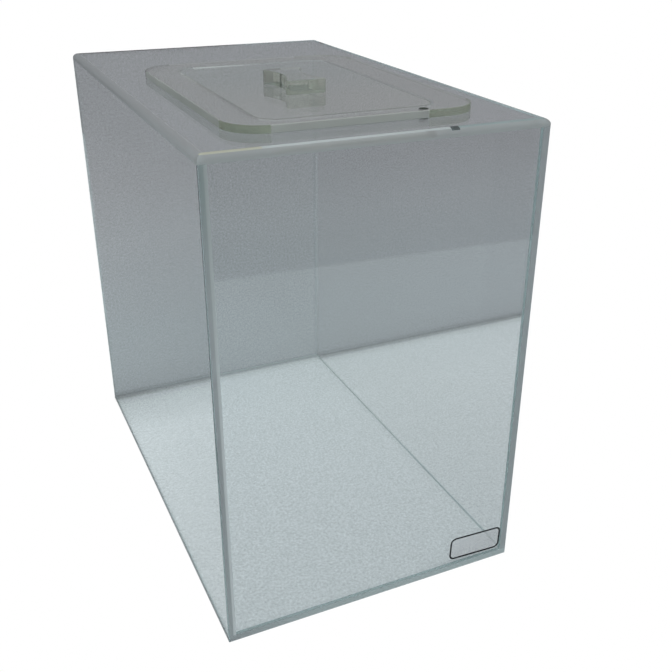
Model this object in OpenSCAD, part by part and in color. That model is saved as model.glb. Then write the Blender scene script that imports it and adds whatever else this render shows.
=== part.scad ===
// Clear acrylic tank with a loose, lift-off lid.
// Six flat sheets are cemented edge to edge: base, four walls and a deck.
// The deck has a rounded access opening. The lid laps over it, and a
// locating plate under the lid drops into it. A scooped grip lifts the lid.
// Cemented sheets stand one cement line apart.
// Origin: middle of the footprint, on the surface that the tank stands on.
// X runs left to right, Y front to back and Z up. All lengths in mm.

/* [Tank] */
// Width of the tank, left to right
tank_w = 203.2; // [180:0.1:260]
// Depth of the tank, front to back
tank_d = 330.2; // [300:0.1:400]
// Height of the tank, from its underside to the top of the deck
tank_h = 304.8; // [150:0.1:400]

/* [Sheet] */
// Thickness of the four wall panels
wall_t = 4.76; // [3:0.01:10]
// Thickness of the base panel
base_t = 4.76; // [3:0.01:10]
// Thickness of the deck
deck_t = 4.76; // [4.5:0.01:10]
// Cement line in each joint, about as wide as capillary cement leaves it
cement_line = 0.05; // [0.02:0.01:0.2]

/* [Outer edges] */
// Radius routed along the deck's upper edges
deck_round = 4.2; // [1:0.1:4.4]
// Radius scraped along the base's lower edges
base_ease = 0.8; // [0.3:0.1:2]
// Radius scraped down the tank's upright corners
corner_ease = 0.8; // [0.3:0.1:2]

/* [Access opening] */
// Width of the opening in the deck
opening_w = 110; // [80:0.5:120]
// Length of the opening in the deck
opening_l = 170; // [100:0.5:190]
// Corner radius of the opening
opening_r = 14; // [5:0.5:30]
// Middle of the opening, to the right of the tank's middle
opening_x = -0.5; // [-15:0.5:15]
// Middle of the opening, behind the tank's middle
opening_y = -40.5; // [-50:0.5:50]
// Radius that softens the rims of the opening and of the holes
rim_ease = 0.5; // [0.2:0.1:1]

/* [Lid] */
// Thickness of the lid plate
lid_t = 4.5; // [3:0.1:8]
// How far the lid laps over the deck at each side
lap_sides = 20; // [8:0.5:25]
// How far the lid laps over the deck at the front and back
lap_ends = 14; // [12:0.5:25]
// Corner radius of the lid
lid_r = 22; // [10:0.5:40]
// Radius that softens the lid's edges
lid_ease = 0.6; // [0.2:0.1:1.2]
// Air film between the resting lid and the deck
lid_rest = 0.1; // [0.05:0.05:0.3]

/* [Locating plate] */
// Thickness of the locating plate
locating_t = 4.5; // [3:0.1:5]
// Gap all round between the locating plate and the opening
locating_gap = 1.5; // [0.5:0.1:3]

/* [Tube hole] */
// Diameter of the tube hole through lid and deck
tube_hole_d = 4.5; // [3:0.1:6]
// Tube hole to the front edge of the lid
tube_hole_front = 5; // [4:0.1:9]
// Tube hole to the right edge of the lid
tube_hole_right = 37.5; // [25:0.5:110]

/* [Grip] */
// Length of the grip, front to back
grip_l = 44; // [40:0.5:90]
// Width of the grip at its ends
grip_w = 25; // [20:0.5:40]
// Height of the grip above the lid
grip_t = 8; // [5:0.1:16]
// Corner radius of the grip, seen from above
grip_r = 3; // [1.5:0.1:5.5]
// Radius that softens the grip's upper edges
grip_ease = 0.8; // [0.3:0.1:1.5]
// Length of the finger scoop along each side
scoop_l = 36; // [20:0.5:37]
// Depth of the finger scoop at its middle
scoop_depth = 5; // [1:0.1:6]
// Middle of the grip, to the right of the lid's middle
grip_x = -5.5; // [-15:0.5:15]
// Middle of the grip, behind the lid's middle
grip_y = -10; // [-30:0.5:30]

/* [Hidden] */

$fn = 96;
over = 1;                                // how far a cutter runs past a face

sheet_colour = [0.62, 0.69, 0.70, 0.55]; // cool clear sheet of the tank
lid_colour = [0.68, 0.70, 0.62, 0.55];   // warmer clear sheet of the lid

wall_bottom = base_t + cement_line;
deck_bottom = tank_h - deck_t;
wall_h = deck_bottom - cement_line - wall_bottom;

lid_w = opening_w + 2 * lap_sides;
lid_l = opening_l + 2 * lap_ends;
lid_bottom = tank_h + lid_rest;
lid_top = lid_bottom + lid_t;

tube_hole_x = opening_x + lid_w / 2 - tube_hole_right;
tube_hole_y = opening_y - lid_l / 2 + tube_hole_front;

// Radius of the circle whose chord is scoop_l and whose sagitta is scoop_depth
scoop_r = (pow(scoop_l / 2, 2) + pow(scoop_depth, 2)) / (2 * scoop_depth);

// ---------- sections and outlines ----------

// What a rounded corner takes away: the square beyond an arc of radius r
// about the origin, in the quarter where x and y are positive.
module corner_waste(r) {
    if (r > 0)
        difference() {
            square(r + over);
            circle(r = r);
        }
}

// Rectangle seen from above, with its own radius at the front and back corners
module rectangle(w, l, front_r, back_r) {
    difference() {
        square([w, l], center = true);
        for (side = [0, 1])
            mirror([side, 0]) {
                translate([w / 2 - back_r, l / 2 - back_r]) corner_waste(back_r);
                translate([w / 2 - front_r, front_r - l / 2])
                    mirror([0, 1]) corner_waste(front_r);
            }
    }
}

// Half section of a sheet, t thick, from its middle line out to run.
// Its outer corners are rounded, above by top_r and below by bottom_r.
module sheet_section(run, t, top_r, bottom_r) {
    difference() {
        square([run, t]);
        translate([run - top_r, t - top_r]) corner_waste(top_r);
        translate([run - bottom_r, bottom_r]) mirror([0, 1]) corner_waste(bottom_r);
    }
}

// Half section of a cutter through a sheet t thick. It reaches out to run,
// and rounds the upper rim that it leaves by ease.
module cutter_section(run, t, ease) {
    translate([0, -over]) square([run, t + 2 * over]);
    difference() {
        translate([0, t - ease]) square([run + ease, ease + over]);
        translate([run + ease, t - ease]) circle(r = ease);
    }
}

// Hands the run of a half section down to the module that draws it
module section_at(run) {
    $run = run;
    children();
}

// A half section and its mirror image, drawn out to length
module bar(run, length) {
    rotate([90, 0, 0])
        linear_extrude(height = length, center = true)
            for (side = [0, 1])
                mirror([side, 0]) section_at(run) children();
}

// Takes a half section round a w by l rectangle with corner radius r:
// two crossed bars, and a turned disc in each corner
module around_rectangle(w, l, r) {
    bar(w / 2, l - 2 * r) children();
    rotate([0, 0, 90]) bar(l / 2, w - 2 * r) children();
    for (x = [-1, 1], y = [-1, 1])
        translate([x * (w / 2 - r), y * (l / 2 - r), 0])
            rotate_extrude()
                section_at(r) children();
}

// Flat sheet with rounded corners and softened edges
module sheet(w, l, t, r, top_r, bottom_r) {
    around_rectangle(w, l, r) sheet_section($run, t, top_r, bottom_r);
}

// Cutter for a rounded opening through a sheet t thick
module opening_cutter(w, l, t, r, ease) {
    around_rectangle(w, l, r) cutter_section($run, t, ease);
}

// Cutter for a round hole through a sheet t thick
module hole_cutter(d, t, ease) {
    rotate_extrude() cutter_section(d / 2, t, ease);
}

// Sheet as large as the tank's footprint. Its four edges are routed straight
// through, so their rounded edges meet in mitres at the corners.
module footprint_sheet(t, top_r, bottom_r) {
    intersection() {
        linear_extrude(height = t) rectangle(tank_w, tank_d, corner_ease, corner_ease);
        bar(tank_w / 2, tank_d) sheet_section($run, t, top_r, bottom_r);
        rotate([0, 0, 90]) bar(tank_d / 2, tank_w) sheet_section($run, t, top_r, bottom_r);
    }
}

// Wall along the tank's full depth, with its outer corners softened
module side_wall() {
    translate([(tank_w - wall_t) / 2, 0, wall_bottom])
        rotate([0, 0, 90])
            linear_extrude(height = wall_h)
                rectangle(tank_d, wall_t, corner_ease, 0);
}

// Wall that fits between the two sides
module end_wall() {
    translate([0, (wall_t - tank_d) / 2, wall_bottom])
        linear_extrude(height = wall_h)
            rectangle(tank_w - 2 * (wall_t + cement_line), wall_t, 0, 0);
}

// ---------- tank ----------

module base_panel() {
    color(sheet_colour) footprint_sheet(base_t, 0, base_ease);
}

module front_panel() {
    color(sheet_colour) end_wall();
}

module back_panel() {
    color(sheet_colour) mirror([0, 1, 0]) end_wall();
}

module left_panel() {
    color(sheet_colour) mirror([1, 0, 0]) side_wall();
}

module right_panel() {
    color(sheet_colour) side_wall();
}

module top_deck() {
    color(sheet_colour)
        translate([0, 0, deck_bottom])
            difference() {
                footprint_sheet(deck_t, deck_round, 0);
                translate([opening_x, opening_y, 0])
                    opening_cutter(opening_w, opening_l, deck_t, opening_r, rim_ease);
                translate([tube_hole_x, tube_hole_y, 0])
                    hole_cutter(tube_hole_d, deck_t, rim_ease);
            }
}

// ---------- lid ----------

module lid_plate() {
    color(lid_colour)
        difference() {
            translate([opening_x, opening_y, lid_bottom])
                sheet(lid_w, lid_l, lid_t, lid_r, lid_ease, lid_ease);
            translate([tube_hole_x, tube_hole_y, lid_bottom])
                hole_cutter(tube_hole_d, lid_t, rim_ease);
        }
}

module lid_locating_plate() {
    color(lid_colour)
        translate([opening_x, opening_y, lid_bottom - cement_line - locating_t])
            sheet(opening_w - 2 * locating_gap, opening_l - 2 * locating_gap,
                  locating_t, opening_r - locating_gap, 0, lid_ease);
}

module lid_grip() {
    color(lid_colour)
        translate([opening_x + grip_x, opening_y + grip_y, lid_top + cement_line])
            difference() {
                sheet(grip_w, grip_l, grip_t, grip_r, grip_ease, 0);
                for (side = [-1, 1])
                    translate([side * (grip_w / 2 - scoop_depth + scoop_r), 0, 0])
                        hole_cutter(2 * scoop_r, grip_t, grip_ease);
            }
}

base_panel();
front_panel();
back_panel();
left_panel();
right_panel();
top_deck();
lid_plate();
lid_locating_plate();
lid_grip();
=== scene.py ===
# %% [markdown]
# # A clear acrylic tank with a lift-off lid
#
# Six sheets of clear cast acrylic are cemented edge to edge into an open-topped box with a deck, and a
# loose lid with a scooped grip lies over the opening. Clear sheet has no colour of its own to paint, so
# almost everything the eye reads on it is light: what shows through, what a face mirrors, and the
# blue-green light that has travelled the long way through a sheet and leaves at its cut edge. This lesson
# keeps every sheet as it was modelled and spends its effort on the material, the joints and the light.

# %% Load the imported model
import math

import bpy
from mathutils import Matrix, Quaternion, Vector


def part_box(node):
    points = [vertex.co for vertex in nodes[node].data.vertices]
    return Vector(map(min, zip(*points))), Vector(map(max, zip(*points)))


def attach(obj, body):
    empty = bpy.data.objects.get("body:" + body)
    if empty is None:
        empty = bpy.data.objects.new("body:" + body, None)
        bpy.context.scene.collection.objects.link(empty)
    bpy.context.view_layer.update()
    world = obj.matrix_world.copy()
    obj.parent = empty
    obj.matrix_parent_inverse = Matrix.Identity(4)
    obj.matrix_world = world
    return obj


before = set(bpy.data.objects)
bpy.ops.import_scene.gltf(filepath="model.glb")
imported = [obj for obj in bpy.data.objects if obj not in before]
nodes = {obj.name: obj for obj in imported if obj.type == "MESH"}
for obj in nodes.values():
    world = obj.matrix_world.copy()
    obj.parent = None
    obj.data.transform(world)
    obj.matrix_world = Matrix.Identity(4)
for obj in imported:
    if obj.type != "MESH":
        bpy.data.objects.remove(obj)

scene = bpy.context.scene
scene.view_settings.view_transform = "Standard"
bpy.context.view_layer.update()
print("pieces:", sorted(nodes))

# %% [markdown]
# ## Sizes, read from the pieces
#
# The sheets' boxes say all that the finishes need: how wide the tank is, where one sheet ends and the next
# begins. Reading them here, and not typing them again, keeps each joint's finish on its joint.

# %% Read the sheets' sizes
MM = 0.001

_, base_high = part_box("base_panel")
front_low, front_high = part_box("front_panel")
right_low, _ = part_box("right_panel")
deck_low, deck_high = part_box("top_deck")
plate_low, plate_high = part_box("lid_plate")
locating_low, locating_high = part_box("lid_locating_plate")
grip_low, grip_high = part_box("lid_grip")

half_width = deck_high.x
half_depth = deck_high.y
tank_height = deck_high.z
inner_x = right_low.x
inner_y = -front_high.y
print(f"tank {2000 * half_width:.1f} x {2000 * half_depth:.1f} x {1000 * tank_height:.1f} mm")
print(f"sheet {1000 * (half_width - inner_x):.1f} mm, deck {1000 * (deck_high.z - deck_low.z):.1f} mm")

# %% [markdown]
# ## The camera
#
# The tank is seen from its front left, from above, through an ordinary lens. Three turns describe such a
# camera: how far it looks down, how far round it stands, and a slight lean to one side.

# %% Place the camera
CAMERA_PLACE = (-0.21267, -0.56586, 0.41300)
LOOKS_DOWN = math.radians(26.282)
STANDS_ROUND = math.radians(25.55)
LEANS = math.radians(0.588)
LENS = 47.73
SENSOR = 36
NEAREST = 0.01
SHIFT = (-0.02093, 0.00312)

lens = bpy.data.cameras.new("camera")
lens.lens = LENS
lens.sensor_width = SENSOR
lens.shift_x, lens.shift_y = SHIFT
lens.clip_start = NEAREST
camera = bpy.data.objects.new("camera", lens)
scene.collection.objects.link(camera)
looks_along = Vector((
    math.cos(LOOKS_DOWN) * math.sin(STANDS_ROUND),
    math.cos(LOOKS_DOWN) * math.cos(STANDS_ROUND),
    -math.sin(LOOKS_DOWN),
))
camera.rotation_mode = "QUATERNION"
camera.rotation_quaternion = looks_along.to_track_quat("-Z", "Y") @ Quaternion((0, 0, 1), LEANS)
camera.location = CAMERA_PLACE
scene.camera = camera
print("camera", CAMERA_PLACE, "lens", LENS, "mm")

# %% [markdown]
# ## Small helpers for node trees
#
# A finish below is a small sum: where on the sheet am I, is this face cemented, how far is it to the edge.
# Writing each step as one short call keeps those sums readable.


# %% Node helpers
NOISE_REACH = (0.3, 0.7)  # nearly all of a noise texture lies between these
NOISE_DETAIL = 2
COLOUR_A, COLOUR_B = 6, 7  # a Mix node's sockets for colours
COLOUR_MIXED = 2


class Tree:
    """A material's node tree, with one short call for each kind of step."""

    def __init__(self, name):
        self.material = bpy.data.materials.new(name)
        self.material.use_nodes = True
        self.tree = self.material.node_tree
        self.tree.nodes.clear()
        self.out = self.add("ShaderNodeOutputMaterial")
        self.place = None

    def add(self, kind, **settings):
        made = self.tree.nodes.new(kind)
        for name, value in settings.items():
            setattr(made, name, value)
        return made

    def put(self, value, socket):
        if isinstance(value, bpy.types.NodeSocket):
            self.tree.links.new(value, socket)
        elif isinstance(value, (tuple, list)):
            socket.default_value = (*value, 1)[: len(socket.default_value)]
        else:
            socket.default_value = value

    def maths(self, operation, a, b=0.0, c=None):
        made = self.add("ShaderNodeMath", operation=operation)
        self.put(a, made.inputs[0])
        self.put(b, made.inputs[1])
        if c is not None:
            self.put(c, made.inputs[2])
        return made.outputs[0]

    def over(self, value, limit):
        return self.maths("GREATER_THAN", value, limit)

    def under(self, value, limit):
        return self.maths("LESS_THAN", value, limit)

    def times(self, *factors):
        found = factors[0]
        for factor in factors[1:]:
            found = self.maths("MULTIPLY", found, factor)
        return found

    def both(self, *tests):
        """1 where every test is 1."""
        return self.times(*tests)

    def either(self, *tests):
        """1 where any test is 1."""
        found = tests[0]
        for test in tests[1:]:
            found = self.maths("MAXIMUM", found, test)
        return found

    def axes(self):
        """x, y and z of the point, in the piece's own space."""
        if self.place is None:
            self.place = self.add("ShaderNodeTexCoord").outputs["Object"]
            split = self.add("ShaderNodeSeparateXYZ")
            self.put(self.place, split.inputs[0])
            self.xyz = split.outputs[0], split.outputs[1], split.outputs[2]
        return self.xyz

    def blend(self, share, a, b):
        """One colour or the other, by share."""
        step = self.add("ShaderNodeMix", data_type="RGBA")
        self.put(share, step.inputs["Factor"])
        self.put(a, step.inputs[COLOUR_A])
        self.put(b, step.inputs[COLOUR_B])
        return step.outputs[COLOUR_MIXED]

    def mix(self, share, a, b):
        """One shader or the other, by share."""
        made = self.add("ShaderNodeMixShader")
        self.put(share, made.inputs[0])
        self.put(a, made.inputs[1])
        self.put(b, made.inputs[2])
        return made.outputs[0]

    def grain(self, waves, low, high):
        """Soft noise between low and high, of a given number of waves a metre."""
        self.axes()
        made = self.add("ShaderNodeTexNoise")
        self.put(self.place, made.inputs["Vector"])
        made.inputs["Scale"].default_value = waves
        made.inputs["Detail"].default_value = NOISE_DETAIL
        return self.ramp(made.outputs[0], *NOISE_REACH, low, high)

    def ramp(self, value, low, high, to_low=0.0, to_high=1.0):
        """Runs from to_low to to_high while the value runs from low to high."""
        made = self.add("ShaderNodeMapRange")
        for i, v in enumerate((value, low, high, to_low, to_high)):
            self.put(v, made.inputs[i])
        return made.outputs[0]


# %% [markdown]
# ## Where sheets are cemented
#
# Solvent cement melts two acrylic faces into one. Light then crosses the joint as if it weren't there,
# and a viewer sees one body with a faint line of bubbles, not two sheets with a mirror between them. Each
# sheet here is a solid of its own, so the faces that meet in a joint are made to let light straight
# through. Each test below asks whether a point is on such a face, from its place alone.

# %% Tests for the cemented faces
SKIN = 0.01 * MM          # a face's own thickness, for the tests below
LOCATING_CORNER = 12.5 * MM
GRIP_CORNER = 3 * MM
SCOOP_LENGTH = 36 * MM
SCOOP_DEPTH = 5 * MM


def inside_rounded(t, low, high, corner):
    """1 inside a rectangle with rounded corners, seen from above."""
    x, y, _ = t.axes()
    out = []
    for value, a, b in ((x, low.x, high.x), (y, low.y, high.y)):
        off = t.maths("ABSOLUTE", t.maths("SUBTRACT", value, (a + b) / 2))
        out.append(t.maths("MAXIMUM", t.maths("SUBTRACT", off, (b - a) / 2 - corner), 0.0))
    reach = t.maths("SQRT", t.maths("MULTIPLY_ADD", out[0], out[0], t.maths("MULTIPLY", out[1], out[1])))
    return t.under(reach, corner)


def over_walls(t):
    """1 above or below the four walls, as far in as their inner faces."""
    x, y, _ = t.axes()
    return t.either(
        t.over(t.maths("ABSOLUTE", x), inner_x),
        t.over(t.maths("ABSOLUTE", y), inner_y),
    )


def reach_from(t, across, along):
    """How far a point lies from a middle, by its two offsets."""
    return t.maths("SQRT", t.maths("MULTIPLY_ADD", across, across, t.maths("MULTIPLY", along, along)))


def under_grip(t):
    """1 in the outline of the grip's foot, which has a scoop in each long side."""
    x, y, _ = t.axes()
    middle = (grip_low + grip_high) / 2
    radius = ((SCOOP_LENGTH / 2) ** 2 + SCOOP_DEPTH**2) / (2 * SCOOP_DEPTH)
    sideways = (grip_high.x - grip_low.x) / 2 - SCOOP_DEPTH + radius
    across = t.maths("SUBTRACT", sideways, t.maths("ABSOLUTE", t.maths("SUBTRACT", x, middle.x)))
    along = t.maths("SUBTRACT", y, middle.y)
    scoop = t.over(reach_from(t, across, along), radius)
    return t.both(scoop, inside_rounded(t, grip_low, grip_high, GRIP_CORNER))


def base_joint(t):
    return t.both(t.over(t.axes()[2], base_high.z - SKIN), over_walls(t))


def wall_ends(t):
    z = t.axes()[2]
    return t.either(t.over(z, front_high.z - SKIN), t.under(z, front_low.z + SKIN))


def side_wall_joint(t):
    """A side: its top and bottom edge, and its inner face where the front or back butts."""
    x, y, _ = t.axes()
    butts = t.both(
        t.under(t.maths("ABSOLUTE", x), inner_x + SKIN),
        t.over(t.maths("ABSOLUTE", y), inner_y),
    )
    return t.either(wall_ends(t), butts)


def end_wall_joint(t):
    """The front or back: all four of its narrow faces."""
    return t.either(wall_ends(t), t.over(t.maths("ABSOLUTE", t.axes()[0]), front_high.x - SKIN))


def deck_joint(t):
    return t.both(t.under(t.axes()[2], deck_low.z + SKIN), over_walls(t))


def plate_joint(t):
    z = t.axes()[2]
    return t.either(
        t.both(t.under(z, plate_low.z + SKIN),
               inside_rounded(t, locating_low, locating_high, LOCATING_CORNER)),
        t.both(t.over(z, plate_high.z - SKIN), under_grip(t)),
    )


def locating_joint(t):
    return t.over(t.axes()[2], locating_high.z - SKIN)


def grip_joint(t):
    return t.under(t.axes()[2], grip_low.z + SKIN)


# %% [markdown]
# ## Cut edges
#
# The faces of a sheet leave the maker polished under their masking film, but its edges have been sawn and
# scraped. They are satin: part of the light goes through and is blurred, and part is scattered by the dull
# skin itself. That turns the jumble of reflections inside a sheet into one even blue-green band. Each edge
# has its own share of dull skin and its own tone, and several tones are painted shade or painted light by
# place. The small hole's wall is the dullest, and is painted nearly black as the shade inside it.
#
# Along the top of the deck's front edge runs a thin strip of painted light: a painted highlight in its
# middle, a painted yellowish reflection at its left end, a painted teal shade at its right end, and a short
# painted dark end just after the highlight.

# %% Where the cut edges lie, and how rough and how pale they are
DECK_ROUND = 4.2 * MM     # radius of the routed edge
LID_CORNER = 21 * MM
RIM = Vector((0.7, 0.7, 0)) * MM
SAWN = 0.5
ROUTED = 0.06
LID_EDGE = 0.18

SAWN_FROST = (0.3, 0.315, 0.325)
# The left side's front end: painted shade high up and painted light toward the front sheet
HIGH_SHADE_FROST = (0.19, 0.235, 0.23)
INNER_LIGHT_FROST = (0.57, 0.6, 0.61)
HIGH_INNER_SHADE_FROST = (0.33, 0.36, 0.355)
# Painted shade: the base's edge runs from the darker sawn tone at its left corner to this lighter tone
BASE_LIT_FROST = (0.42, 0.48, 0.485)
SIDE_FROST = (0.285, 0.3, 0.305)
FRONT_FROST = (0.265, 0.28, 0.28)
# The thin strip along the deck's front edge: a painted yellowish reflection, a painted highlight, a painted
# teal shade and a painted dark end
PAINTED_YELLOW_REFLECTION = (0.4, 0.41, 0.33)
PAINTED_EDGE_HIGHLIGHT = (0.39, 0.43, 0.43)
PAINTED_TEAL_SHADE = (0.23, 0.28, 0.28)
PAINTED_DARK_END = (0.05, 0.055, 0.055)
LID_FROST = (0.3, 0.315, 0.305)
# Painted shade on the lid's corners: darker olive, and nearly black at the far left one
CORNER_SHADE_FROST = (0.235, 0.255, 0.205)
PAINTED_FAR_CORNER_SHADE = (0.06, 0.065, 0.06)
# Painted shade: the hole's wall is painted nearly black
PAINTED_HOLE_SHADE = (0.04, 0.045, 0.04)
HOLE_SHARE = 0.9
GRIP_FROST = (0.31, 0.325, 0.295)
# Painted dark reflections: two streaks at the grip's left
PAINTED_DARK_REFLECTION = (0.06, 0.065, 0.055)
GLINT_TONE = (0.75, 0.8, 0.79)

SAWN_SHARE = 0.6          # share of dull skin on each kind of edge
ROUTED_SHARE = 0.75
LID_SIDE_SHARE = 0.65
LID_FRONT_SHARE = 0.85
LID_CORNER_SHARE = 0.45
GRIP_SHARE = 0.4
STREAK_SHARE = 0.6
GLINT_SHARE = 0.8

# Where the grip's painted dark reflections lie
STREAK = (1 * MM, 3.5 * MM)
DARK_END = 1.2 * MM
GLINT = (-30 * MM, 10 * MM)
# Where the left side's painted shade and painted light run
HIGH_UP = (215 * MM, 290 * MM)
INNER_HIGH_UP = (120 * MM, 290 * MM)
INNER_STRIP = (-inner_x - 1.9 * MM, -inner_x - 1.4 * MM)
# Where the deck's strip of painted highlight, painted reflection and painted dark end lies
HIGHLIGHT_STRIP_HEIGHT = 0.6 * MM
LIT_FROM = -68 * MM
LIT_TO = 38 * MM
HIGHLIGHT_END_LENGTH = 5 * MM
HIGHLIGHT_END_DEPTH = 1.4 * MM
HOLE_MIDDLE = Vector((37, -134.5, 0)) * MM
HOLE_REACH = 2.8 * MM     # its radius and its softened rim


def where(t, test, value):
    """The value where the test is 1, and nothing elsewhere."""
    return t.maths("MULTIPLY", test, value)


def base_rim(t):
    """The four upright edges of the base."""
    x, y, _ = t.axes()
    return t.either(
        t.over(t.maths("ABSOLUTE", x), half_width - SKIN),
        t.over(t.maths("ABSOLUTE", y), half_depth - SKIN),
    )


def base_edge(t):
    return where(t, base_rim(t), SAWN)


def base_frost(t):
    """The base's edge has a painted shade, darker toward its left corner."""
    tone = t.blend(t.ramp(t.axes()[0], -half_width, -half_width / 2), SAWN_FROST, BASE_LIT_FROST)
    return where(t, base_rim(t), SAWN_SHARE), tone


def wall_rim(t):
    """The narrow upright faces of the sides, out at the tank's front."""
    return t.under(t.axes()[1], -half_depth + SKIN)


def wall_edge(t):
    return where(t, wall_rim(t), SAWN)


def wall_frost(t):
    return where(t, wall_rim(t), SAWN_SHARE), SAWN_FROST


def left_wall_frost(t):
    """The left side's front end has painted light, paler toward the front sheet, and painted shade, darker
    high up.
    """
    x, _, z = t.axes()
    share, tone = wall_frost(t)
    outer = t.blend(t.ramp(z, *HIGH_UP), tone, HIGH_SHADE_FROST)
    inner = t.blend(t.ramp(z, *INNER_HIGH_UP), INNER_LIGHT_FROST, HIGH_INNER_SHADE_FROST)
    return share, t.blend(t.ramp(x, *INNER_STRIP), outer, inner)


def in_hole(t):
    """1 on the wall of the small hole through the lid and the deck, which the drill left dull and which is
    painted dark as the shade inside it.
    """
    x, y, _ = t.axes()
    across = t.maths("SUBTRACT", x, HOLE_MIDDLE.x)
    along = t.maths("SUBTRACT", y, HOLE_MIDDLE.y)
    return t.under(reach_from(t, across, along), HOLE_REACH)


def with_hole(t, share, tone):
    """Adds the hole's dull wall, with its painted dark shade, to a share of dull skin and its tone."""
    hole = in_hole(t)
    return t.either(share, where(t, hole, HOLE_SHARE)), t.blend(hole, tone, PAINTED_HOLE_SHADE)


def deck_rim(t):
    """All round the deck, out where its upper edge is routed round."""
    x, y, _ = t.axes()
    return t.either(
        t.over(t.maths("ABSOLUTE", x), half_width - DECK_ROUND),
        t.over(t.maths("ABSOLUTE", y), half_depth - DECK_ROUND),
    )


def deck_edge(t):
    return where(t, deck_rim(t), ROUTED)


def deck_frost(t):
    """The router leaves the rounded edge dull. Along its top at the front runs a thin strip of painted
    highlight, painted reflection and painted shade.
    """
    x, y, z = t.axes()
    right_of_left_end = t.blend(t.over(x, LIT_TO), PAINTED_EDGE_HIGHLIGHT, PAINTED_TEAL_SHADE)
    painted_strip = t.blend(t.over(x, LIT_FROM), PAINTED_YELLOW_REFLECTION, right_of_left_end)
    along_front = t.blend(t.over(z, tank_height - HIGHLIGHT_STRIP_HEIGHT), FRONT_FROST, painted_strip)
    # The painted highlight ends in a short painted dark end
    highlight_end = t.both(t.over(x, LIT_TO), t.under(x, LIT_TO + HIGHLIGHT_END_LENGTH), t.over(z, tank_height - HIGHLIGHT_END_DEPTH))
    along_front = t.blend(highlight_end, along_front, PAINTED_DARK_END)
    tone = t.blend(t.under(y, -half_depth + DECK_ROUND), SIDE_FROST, along_front)
    return with_hole(t, where(t, deck_rim(t), ROUTED_SHARE), tone)


def lid_rim(t):
    """The lid's scraped edges: all that lies outside a rounded outline a hair within its own."""
    return t.maths("SUBTRACT", 1.0, inside_rounded(t, plate_low + RIM, plate_high - RIM, LID_CORNER))


def lid_edge(t):
    return where(t, lid_rim(t), LID_EDGE)


def lid_frost(t):
    """The straight edges of the lid are dull and its corners clearer. The corners carry a painted darker
    olive shade, and the far left one a painted dark shade.
    """
    x, y, _ = t.axes()
    straight = t.either(
        t.both(t.over(x, plate_low.x + LID_CORNER), t.under(x, LIT_TO)),
        t.both(t.over(y, plate_low.y + LID_CORNER), t.under(y, plate_high.y - LID_CORNER)),
    )
    along_front = t.under(y, plate_low.y + LID_CORNER)
    dull = t.ramp(along_front, 0.0, 1.0, LID_SIDE_SHARE, LID_FRONT_SHARE)
    share = where(t, lid_rim(t), t.ramp(straight, 0.0, 1.0, LID_CORNER_SHARE, dull))
    far_corner = t.both(t.under(x, plate_low.x + LID_CORNER), t.over(y, plate_high.y - LID_CORNER))
    corner = t.blend(far_corner, CORNER_SHADE_FROST, PAINTED_FAR_CORNER_SHADE)
    return with_hole(t, share, t.blend(straight, corner, LID_FROST))


def grip_frost(t):
    """The grip's scooped sides are a little dull, with two painted dark reflections as streaks at the left.
    Its top is clear.
    """
    x, y, z = t.axes()
    middle = (grip_low + grip_high) / 2
    streak = t.both(t.over(y, middle.y + STREAK[0]), t.under(y, middle.y + STREAK[1]))
    dark = t.both(t.under(x, middle.x), t.either(t.over(y, grip_high.y - DARK_END), streak))
    share = where(t, t.under(z, grip_high.z - SKIN), t.ramp(dark, 0.0, 1.0, GRIP_SHARE, STREAK_SHARE))
    return share, t.blend(dark, GRIP_FROST, PAINTED_DARK_REFLECTION)


def locating_frost(t):
    """The locating plate's back edge catches the light toward its left end."""
    x, y, _ = t.axes()
    return where(t, t.over(y, locating_high.y - SKIN), t.ramp(x, *GLINT, GLINT_SHARE, 0.0)), GLINT_TONE


def no_edge(t):
    return 0.0


# %% [markdown]
# ## Clear acrylic
#
# The sheet bends light by a factor of 1.49 and mirrors a little of it at each face. In its depth it takes
# out some red, which nobody sees through five millimetres, but which makes the long way along a sheet come
# out blue-green: an absorbing volume does that by itself. Lamps shine through clear sheet, so shadow rays
# and the rays that gather soft light pass it with a small loss. That gives the table inside its light. The
# cement is tinted and a little milky at the front of the tank, and clear at the back.

# %% The acrylic finish
BEND = 1.49


def acrylic(name, optics, cemented, cut, frosted=None):
    """Clear sheet, with its cemented faces, its cut edges and the dull skin on them."""
    face_tint, depth_colour, depth_strength, lamp_share, cement, milk_share = optics
    t = Tree(name)
    sheet = t.add("ShaderNodeBsdfPrincipled")
    t.put(face_tint, sheet.inputs["Base Color"])
    sheet.inputs["Transmission Weight"].default_value = 1.0
    sheet.inputs["IOR"].default_value = BEND
    t.put(cut(t), sheet.inputs["Roughness"])
    joint = t.add("ShaderNodeBsdfTransparent")
    back = t.ramp(t.axes()[1], -half_depth / 2, 0.0)
    t.put(t.blend(back, cement, CLEAR_CEMENT), joint.inputs[0])
    milk = t.add("ShaderNodeBsdfDiffuse")
    t.put(MILK, milk.inputs["Color"])
    milky = where(t, t.maths("SUBTRACT", 1.0, back), milk_share)
    joint = t.mix(milky, joint.outputs[0], milk.outputs[0])
    finish = sheet.outputs[0]
    if frosted:
        share, tone = frosted(t)
        matt = t.add("ShaderNodeBsdfDiffuse")
        t.put(tone, matt.inputs["Color"])
        finish = t.mix(share, finish, matt.outputs[0])
    finish = t.mix(cemented(t), finish, joint)
    lit = t.add("ShaderNodeBsdfTransparent")
    t.put(lamp_share, lit.inputs[0])
    path = t.add("ShaderNodeLightPath")
    soft = t.either(path.outputs["Is Shadow Ray"], path.outputs["Is Diffuse Ray"])
    finish = t.mix(soft, finish, lit.outputs[0])
    t.put(finish, t.out.inputs["Surface"])
    depth = t.add("ShaderNodeVolumeAbsorption")
    t.put(depth_colour, depth.inputs["Color"])
    depth.inputs["Density"].default_value = depth_strength
    t.put(depth.outputs[0], t.out.inputs["Volume"])
    return t.material


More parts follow.
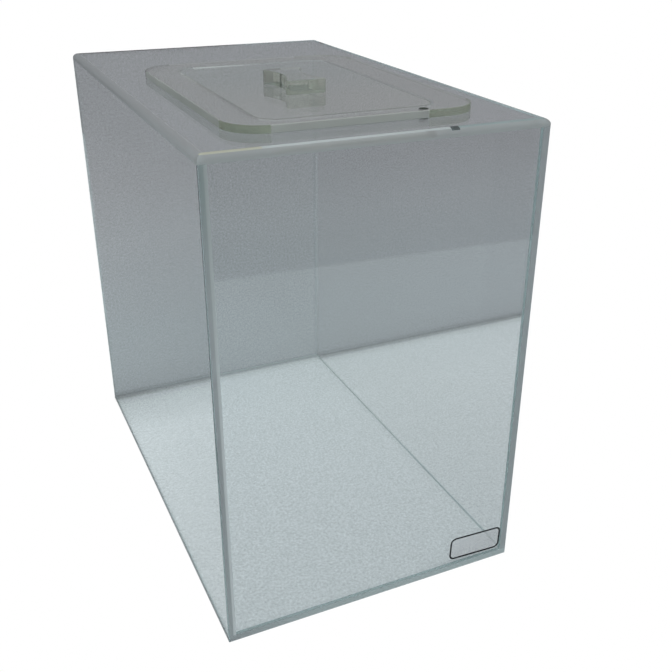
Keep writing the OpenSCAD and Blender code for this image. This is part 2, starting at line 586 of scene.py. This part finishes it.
TANK_FACE = (0.88, 0.89, 0.895)
# Painted shade: the left side has a darker face tint than the other sheets of the same acrylic
LEFT_SHADED_FACE = (0.775, 0.79, 0.795)
TANK_DEPTH = (0.15, 0.6, 0.6)
TANK_STRENGTH = 0.8
LID_FACE = (0.93, 0.93, 0.91)
LID_DEPTH = (0.3, 0.42, 0.02)
LID_STRENGTH = 2.0
TANK_LAMPS = (0.98, 0.985, 0.985)
LID_LAMPS = (0.985, 0.985, 0.975)

TANK_CEMENT = (0.86, 0.92, 0.925)
CLEAR_CEMENT = (0.965, 0.98, 0.98)
MILK = (0.36, 0.42, 0.42)
MILK_SHARE = 0.3
NO_MILK = 0.0
LID_CEMENT = (0.99, 0.99, 0.985)

TANK = (TANK_FACE, TANK_DEPTH, TANK_STRENGTH, TANK_LAMPS, TANK_CEMENT, MILK_SHARE)
LEFT_SHADED = (LEFT_SHADED_FACE, TANK_DEPTH, TANK_STRENGTH, TANK_LAMPS, TANK_CEMENT, MILK_SHARE)
LID = (LID_FACE, LID_DEPTH, LID_STRENGTH, LID_LAMPS, LID_CEMENT, NO_MILK)
FINISHES = {
    "base": (["base_panel"], TANK, base_joint, base_edge, base_frost),
    "left_wall": (["left_panel"], LEFT_SHADED, side_wall_joint, wall_edge, left_wall_frost),
    "right_wall": (["right_panel"], TANK, side_wall_joint, wall_edge, wall_frost),
    "end_wall": (["front_panel", "back_panel"], TANK, end_wall_joint, no_edge),
    "deck": (["top_deck"], TANK, deck_joint, deck_edge, deck_frost),
    "lid": (["lid_plate"], LID, plate_joint, lid_edge, lid_frost),
    "locating": (["lid_locating_plate"], LID, locating_joint, no_edge, locating_frost),
    "grip": (["lid_grip"], LID, grip_joint, no_edge, grip_frost),
}
for name, (sheets, optics, *tests) in FINISHES.items():
    finish = acrylic(name + "_acrylic", optics, *tests)
    for sheet in sheets:
        nodes[sheet].data.materials.clear()
        nodes[sheet].data.materials.append(finish)
print("finishes:", sorted(FINISHES))

# %% [markdown]
# ## The label
#
# A clear film with a thin dark border is stuck low on the front sheet, a little out of true. It is cut as
# a rectangle, its four corners are rounded, and a border is set off inside it. It carries no words.

# %% Label film
LABEL_MIDDLE = Vector((75.35, 0, 17.45)) * MM
LABEL_SIZE = Vector((39.9, 0, 17.5)) * MM
LABEL_TURN = math.radians(2.2)
LABEL_CORNER = 4 * MM
LABEL_BORDER = 1.2 * MM
FILM = 0.1 * MM
CORNER_STEPS = 8
FILM_ROUGHNESS = 0.25
FILM_BEND = 1.3
BORDER_INK = (0.012, 0.012, 0.014)
CLEAR_HAZE = (0.8, 0.8, 0.86)
BORDER_CORNERS = 4        # the border's faces have four corners, and the clear middle has more


def film_skin(name, haze, share, shine):
    """Thin film: a share of haze over what lies behind it, and a shine that grows edge-on."""
    t = Tree(name)
    body = t.add("ShaderNodeBsdfDiffuse")
    t.put(haze, body.inputs["Color"])
    clear = t.add("ShaderNodeBsdfTransparent")
    gloss = t.add("ShaderNodeBsdfGlossy")
    gloss.inputs["Roughness"].default_value = FILM_ROUGHNESS
    edge_on = t.add("ShaderNodeFresnel")
    edge_on.inputs["IOR"].default_value = FILM_BEND
    seen = t.mix(share, clear.outputs[0], body.outputs[0])
    seen = t.mix(t.maths("MULTIPLY", edge_on.outputs[0], shine), seen, gloss.outputs[0])
    t.put(seen, t.out.inputs["Surface"])
    return t.material


bpy.ops.object.select_all(action="DESELECT")
bpy.ops.mesh.primitive_plane_add(size=1)
label = bpy.context.object
label.name = "label_film"
bpy.ops.object.mode_set(mode="EDIT")
bpy.ops.transform.resize(value=(LABEL_SIZE.x, LABEL_SIZE.z, 1))
bpy.ops.mesh.bevel(offset=LABEL_CORNER, offset_type="OFFSET", segments=CORNER_STEPS, affect="VERTICES")
bpy.ops.mesh.select_all(action="SELECT")
bpy.ops.mesh.inset(thickness=LABEL_BORDER)
bpy.ops.mesh.select_all(action="SELECT")
bpy.ops.mesh.extrude_region_move(TRANSFORM_OT_translate={"value": (0, 0, FILM)})
bpy.ops.mesh.select_all(action="SELECT")
bpy.ops.mesh.normals_make_consistent(inside=False)
bpy.ops.object.mode_set(mode="OBJECT")
upright = (
    Matrix.Translation((LABEL_MIDDLE.x, -half_depth - 2 * SKIN, LABEL_MIDDLE.z))
    @ Matrix.Rotation(LABEL_TURN, 4, "Y")
    @ Matrix.Rotation(math.radians(90), 4, "X")
)
label.data.transform(upright)
label.data.materials.append(film_skin("label_border", haze=BORDER_INK, share=0.95, shine=0.5))
label.data.materials.append(film_skin("label_clear", haze=CLEAR_HAZE, share=0.08, shine=0.6))
for face in label.data.polygons:
    face.material_index = 1 if len(face.vertices) > BORDER_CORNERS else 0
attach(label, "tank")
print("label:", len(label.data.vertices), "points")

# %% [markdown]
# ## The room
#
# The tank stands on a pale table against a grey wall. Both are plain paint with painted shade, and the
# wall's lower part has a painted paler blue-green bounce of light. The wall has a front face only, so that
# it doesn't hide the tank from behind.

# %% Table and wall
TABLE_COLOUR = (0.78, 0.834, 0.845)
WALL_COLOUR = (0.445, 0.44, 0.455)
# Painted bounce light: the wall is paler and more blue-green low down
LOW_WALL_BOUNCE_COLOUR = (0.46, 0.487, 0.503)
BOUNCE_HEIGHTS = (60 * MM, 200 * MM)
TABLE_GRAIN = (580, 0.82, 1.18)
WALL_GRAIN = (620, 0.83, 1.17)
NEAR_TABLE = 0.81         # shades of the table and the wall: a share of the light they get elsewhere
FAR_LEFT_TABLE = 0.7
RIGHT_TABLE = 0.9
SOFT_CORNER = 0.8
DARK_CORNER = 0.62
DARK_FOOT = 0.76
SOFT_FOOT = 0.96
HIGH_WALL = 0.8
WALL_BEHIND = 1 * MM
TABLE_BELOW = 0.3 * MM
ROOM = 3.0
table_top = -TABLE_BELOW
wall_y = half_depth + WALL_BEHIND


def table_shade(t):
    """Less light near the front, in the corner under the wall and at both sides, and a fine grain."""
    x, y, _ = t.axes()
    near = t.ramp(y, -half_depth, half_depth / 2, NEAR_TABLE, 1.0)
    far_left = t.ramp(x, -half_width, -half_width * 0.3, FAR_LEFT_TABLE, 1.0)
    left = t.ramp(y, half_depth * 0.6, wall_y, 1.0, far_left)
    soft_corner = t.ramp(y, wall_y - 18 * MM, wall_y - 4 * MM, 1.0, SOFT_CORNER)
    dark_corner = t.ramp(y, wall_y - 7 * MM, wall_y - 3 * MM, 1.0, DARK_CORNER)
    right = t.ramp(x, half_width - 10 * MM, half_width + 10 * MM, 1.0, RIGHT_TABLE)
    return t.times(near, left, soft_corner, dark_corner, right, t.grain(*TABLE_GRAIN))


def wall_shade(t):
    """Less light at the foot and high up, and a stronger grain."""
    _, _, z = t.axes()
    dark_foot = t.ramp(z, 0.0, 6 * MM, DARK_FOOT, 1.0)
    soft_foot = t.ramp(z, 0.0, 30 * MM, SOFT_FOOT, 1.0)
    high = t.ramp(z, 150 * MM, 280 * MM, 1.0, HIGH_WALL)
    return t.times(dark_foot, soft_foot, high, t.grain(*WALL_GRAIN))


def paint(name, colour, shade, one_sided=False, bounce_colour=None):
    """Matt paint, with painted shade by place and, if given, a painted paler blue-green bounce of light low
    down. A one-sided face isn't there from behind.
    """
    t = Tree(name)
    matt = t.add("ShaderNodeBsdfDiffuse")
    if bounce_colour:
        colour = t.blend(t.ramp(t.axes()[2], *BOUNCE_HEIGHTS), bounce_colour, colour)
    tone = t.add("ShaderNodeVectorMath", operation="SCALE")
    t.put(colour, tone.inputs[0])
    t.put(shade(t), tone.inputs["Scale"])
    t.put(tone.outputs[0], matt.inputs["Color"])
    finish = matt.outputs[0]
    if one_sided:
        face = t.add("ShaderNodeNewGeometry")
        open_back = t.add("ShaderNodeBsdfTransparent")
        finish = t.mix(face.outputs["Backfacing"], finish, open_back.outputs[0])
    t.put(finish, t.out.inputs["Surface"])
    return t.material


def backdrop(name, corners, material):
    """A flat face of the stage round the tank."""
    shape = bpy.data.meshes.new(name)
    shape.from_pydata(corners, [], [tuple(range(len(corners)))])
    shape.materials.append(material)
    made = bpy.data.objects.new(name, shape)
    scene.collection.objects.link(made)
    return made


table = backdrop(
    "table",
    [(-ROOM, -ROOM, table_top), (ROOM, -ROOM, table_top), (ROOM, ROOM, table_top), (-ROOM, ROOM, table_top)],
    paint("table_paint", TABLE_COLOUR, table_shade),
)
wall = backdrop(
    "wall",
    [(-ROOM, wall_y, table_top), (ROOM, wall_y, table_top), (ROOM, wall_y, ROOM), (-ROOM, wall_y, ROOM)],
    paint("wall_paint", WALL_COLOUR, wall_shade, one_sided=True, bounce_colour=LOW_WALL_BOUNCE_COLOUR),
)

# %% [markdown]
# ## A cut-out
#
# A picture of goods is often cut out and laid on white. Here the camera itself sees neither table nor wall
# but a white world behind everything, while all that is seen through or mirrored in the acrylic is the
# real table and wall. The rest of the room is dim, and only the acrylic sees it.

# %% Hidden stage and dim room
ROOM_GLOW = (0.27, 0.275, 0.28)


def glow(name, colour):
    """A face that gives light of its own."""
    t = Tree(name)
    light = t.add("ShaderNodeEmission")
    t.put(colour, light.inputs["Color"])
    t.put(light.outputs[0], t.out.inputs["Surface"])
    return t.material


def seen_by(made, *kinds):
    """Lets only the given kinds of rays see a face."""
    for kind in ("camera", "diffuse", "glossy", "transmission", "shadow", "volume_scatter"):
        setattr(made, "visible_" + kind, kind in kinds)


table.visible_camera = False
wall.visible_camera = False
dim = glow("room_glow", ROOM_GLOW)
for name, corners in {
    "room_left": [(-ROOM, -ROOM, 0), (-ROOM, ROOM, 0), (-ROOM, ROOM, ROOM), (-ROOM, -ROOM, ROOM)],
    "room_right": [(ROOM, -ROOM, 0), (ROOM, ROOM, 0), (ROOM, ROOM, ROOM), (ROOM, -ROOM, ROOM)],
    "room_front": [(-ROOM, -ROOM, 0), (ROOM, -ROOM, 0), (ROOM, -ROOM, ROOM), (-ROOM, -ROOM, ROOM)],
    "room_top": [(-ROOM, -ROOM, ROOM), (ROOM, -ROOM, ROOM), (ROOM, ROOM, ROOM), (-ROOM, ROOM, ROOM)],
}.items():
    seen_by(backdrop(name, corners, dim), "glossy", "transmission")

# %% [markdown]
# ## A dark card in front
#
# Glass and acrylic are lit as much by what they mirror as by lamps. A dark card lying far in front gives the
# upper half of the front sheet something dark to mirror, while its lower half mirrors the pale table.
# Only rays that one sheet has mirrored see the card. Through the tank, or its opening, it doesn't show.

# %% Dark card
CARD_EDGE = -0.7175
CARD_TURN = 0.07
CARD_PIVOT = 0.067        # the card's edge is turned about the point this far to the right
CARD_COLOUR = (0.03, 0.03, 0.03)
CARD_TOP = 2 * MM
ONE_SHEET = 2.5           # in through a face and out again is two steps
MIRRORED = 0.5            # a mirrored ray has taken one glossy step
t = Tree("card_paint")
black = t.add("ShaderNodeBsdfDiffuse")
t.put(CARD_COLOUR, black.inputs["Color"])
unseen = t.add("ShaderNodeBsdfTransparent")
path = t.add("ShaderNodeLightPath")
mirrored = t.both(
    t.under(path.outputs["Transmission Depth"], ONE_SHEET),
    t.over(path.outputs["Glossy Depth"], MIRRORED),
)
t.put(t.mix(mirrored, unseen.outputs[0], black.outputs[0]), t.out.inputs["Surface"])
right_end = CARD_EDGE + CARD_TURN * (ROOM - CARD_PIVOT)
left_end = CARD_EDGE - CARD_TURN * (ROOM + CARD_PIVOT)
card = backdrop(
    "card",
    [
        (-ROOM, -ROOM, CARD_TOP),
        (ROOM, -ROOM, CARD_TOP),
        (ROOM, right_end, CARD_TOP),
        (-ROOM, left_end, CARD_TOP),
    ],
    t.material,
)
card.visible_camera = False
card.visible_diffuse = False
card.visible_shadow = False

# %% [markdown]
# ## Light
#
# A pale room all round and two large soft lamps from the front. That is plain light, at which a colour
# comes out about as it is written. The acrylic doesn't mirror the lamps, whose small bright images would
# turn to sparkle inside the sheets. To the camera itself the world is pure white.

# %% World and lamps
SKY_COLOUR = (0.8, 0.82, 0.84, 1)
SKY_STRENGTH = 0.6
WHITE = (1, 1, 1, 1)
world = bpy.data.worlds.new("room_light")
scene.world = world
world.use_nodes = True
links = world.node_tree.links
sky = world.node_tree.nodes["Background"]
sky.inputs["Color"].default_value = SKY_COLOUR
sky.inputs["Strength"].default_value = SKY_STRENGTH
white = world.node_tree.nodes.new("ShaderNodeBackground")
white.inputs["Color"].default_value = WHITE
ray = world.node_tree.nodes.new("ShaderNodeLightPath")
either = world.node_tree.nodes.new("ShaderNodeMixShader")
links.new(ray.outputs["Is Camera Ray"], either.inputs[0])
links.new(sky.outputs[0], either.inputs[1])
links.new(white.outputs[0], either.inputs[2])
links.new(either.outputs[0], world.node_tree.nodes["World Output"].inputs["Surface"])


def soft_lamp(name, place, aims_at, size, watts):
    """A large lamp, which the acrylic doesn't mirror."""
    lamp = bpy.data.lights.new(name, "AREA")
    lamp.shape = "RECTANGLE"
    lamp.size, lamp.size_y = size
    lamp.energy = watts
    made = bpy.data.objects.new(name, lamp)
    scene.collection.objects.link(made)
    made.location = place
    made.rotation_mode = "QUATERNION"
    made.rotation_quaternion = (Vector(aims_at) - Vector(place)).to_track_quat("-Z", "Y")
    made.visible_glossy = False
    made.visible_transmission = False
    print(name, "lamp", watts, "W")


LOW_MIDDLE = (0, 0, 0.1)
soft_lamp("key", place=(-0.8, -0.8, 1.8), aims_at=LOW_MIDDLE, size=(1.2, 1.0), watts=22)
soft_lamp("fill", place=(1.0, -0.8, 1.5), aims_at=LOW_MIDDLE, size=(1.0, 1.0), watts=8)

# %% [markdown]
# ## Long light paths
#
# Light inside a sheet bounces many times between its faces before it leaves at an edge. Cut short, such a
# path comes out black, so the paths are allowed to be long.

# %% Light path lengths
BOUNCES = 48
scene.cycles.max_bounces = BOUNCES
scene.cycles.transmission_bounces = BOUNCES
scene.cycles.glossy_bounces = BOUNCES
scene.cycles.transparent_max_bounces = BOUNCES
print("bounces:", BOUNCES)
